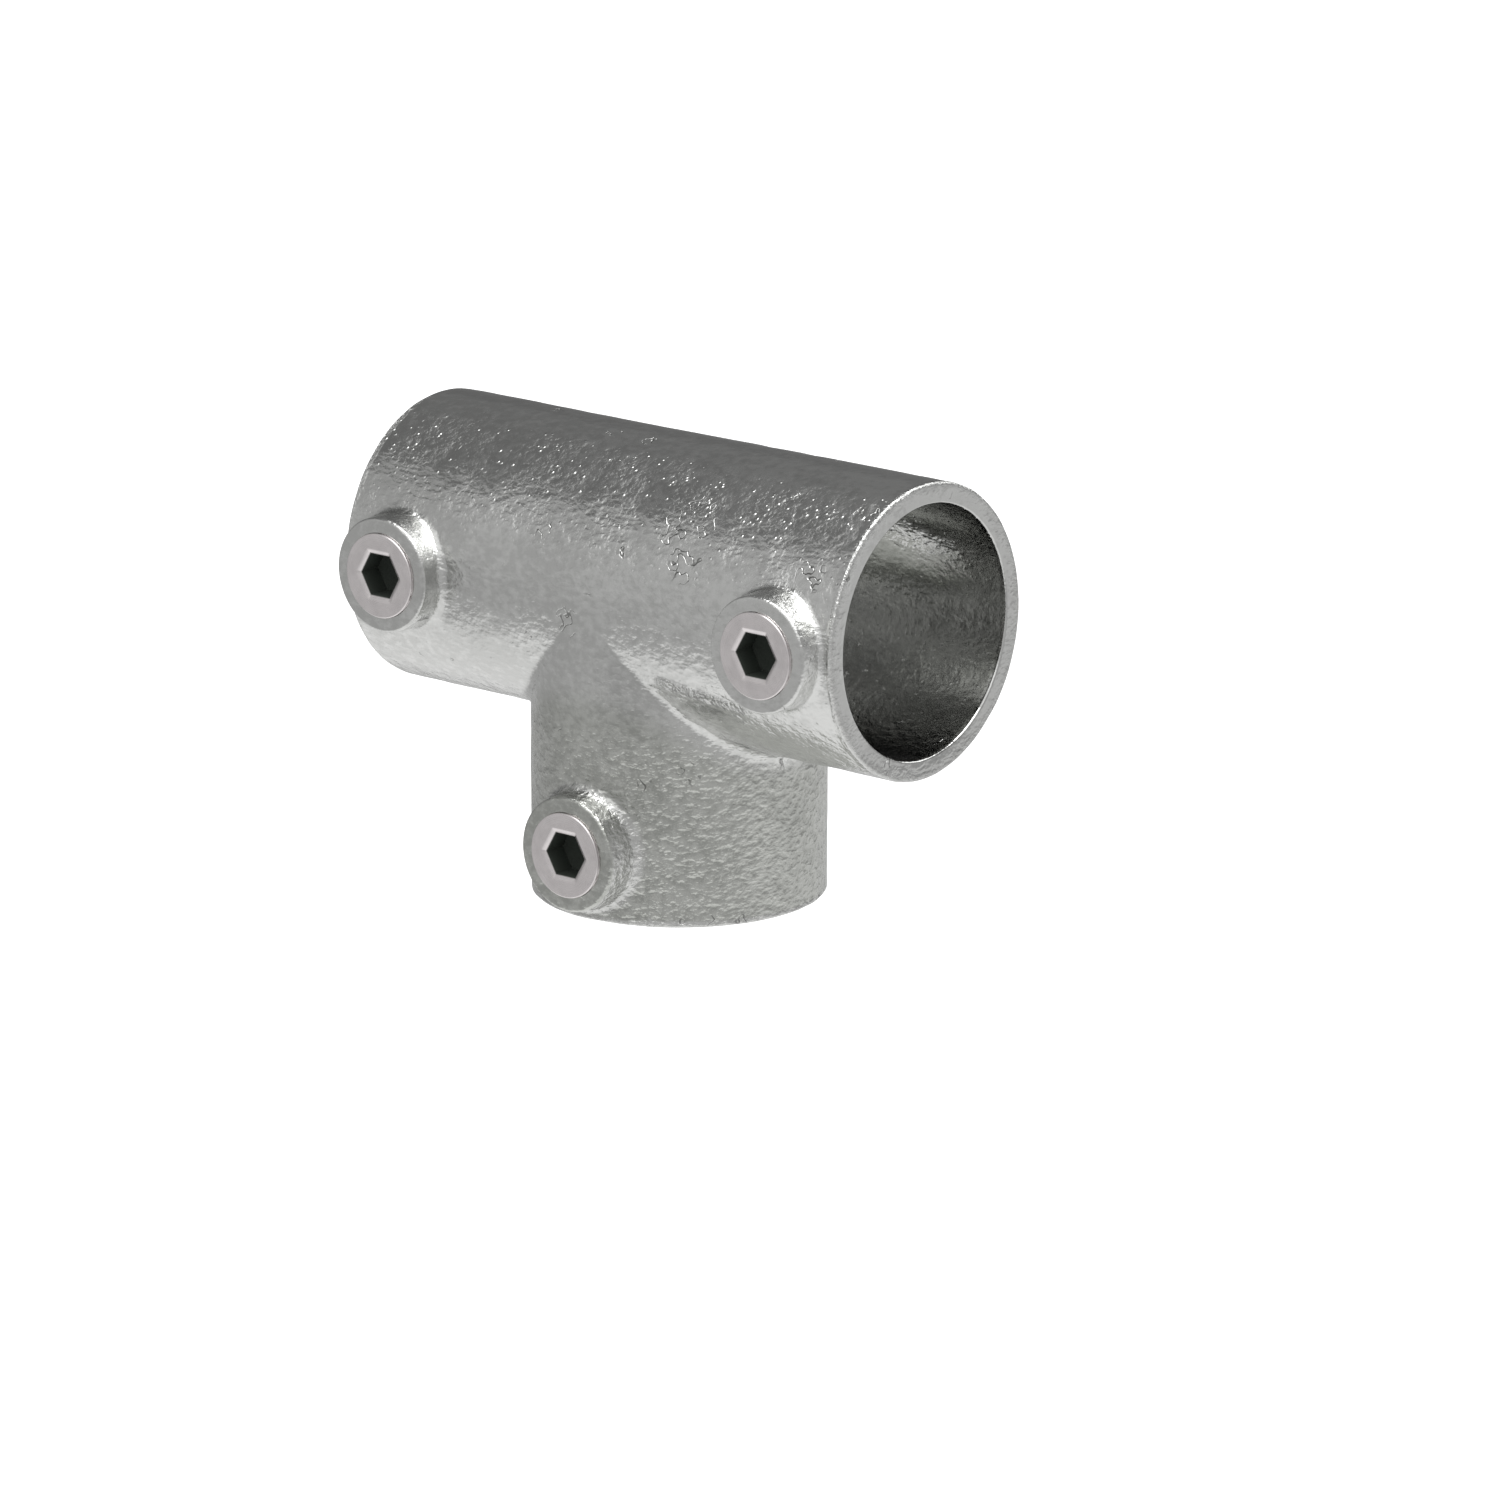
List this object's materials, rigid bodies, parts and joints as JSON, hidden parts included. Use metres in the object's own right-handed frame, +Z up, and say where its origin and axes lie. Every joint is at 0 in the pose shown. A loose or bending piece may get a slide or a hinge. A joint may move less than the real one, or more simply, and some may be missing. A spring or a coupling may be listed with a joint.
{
  "type": "tube clamp tee fitting",
  "caption": "Cast tee fitting that clamps a through tube and the end of an upright tube with hexagon socket set screws.",
  "frame": {"origin": "where the axis of the run and the axis of the stem cross", "axes": "+X along the run, +Z up and away from the stem's open end, -Y the side of the set screws"},
  "size_m": [0.1208, 0.0626, 0.0894],
  "materials": {
    "galvanised_iron": "hot-dip galvanised casting, satin grey with a fine mottled spangle",
    "screw_steel": "machined stainless steel, fine satin"
  },
  "bodies": {
    "casting": {"tee_casting": "galvanised_iron"},
    "left_screw": {"left_set_screw": "screw_steel"},
    "right_screw": {"right_set_screw": "screw_steel"},
    "stem_screw": {"stem_set_screw": "screw_steel"}
  },
  "joints": [
    {"name": "left_screw_travel", "type": "slide", "parent": "casting", "child": "left_screw", "axis": [0, 1, 0], "range_m": [-0.00668, 0.00267]},
    {"name": "right_screw_travel", "type": "slide", "parent": "casting", "child": "right_screw", "axis": [0, 1, 0], "range_m": [-0.00668, 0.00267]},
    {"name": "stem_screw_travel", "type": "slide", "parent": "casting", "child": "stem_screw", "axis": [0, 1, 0], "range_m": [-0.00668, 0.00267]}
  ]
}
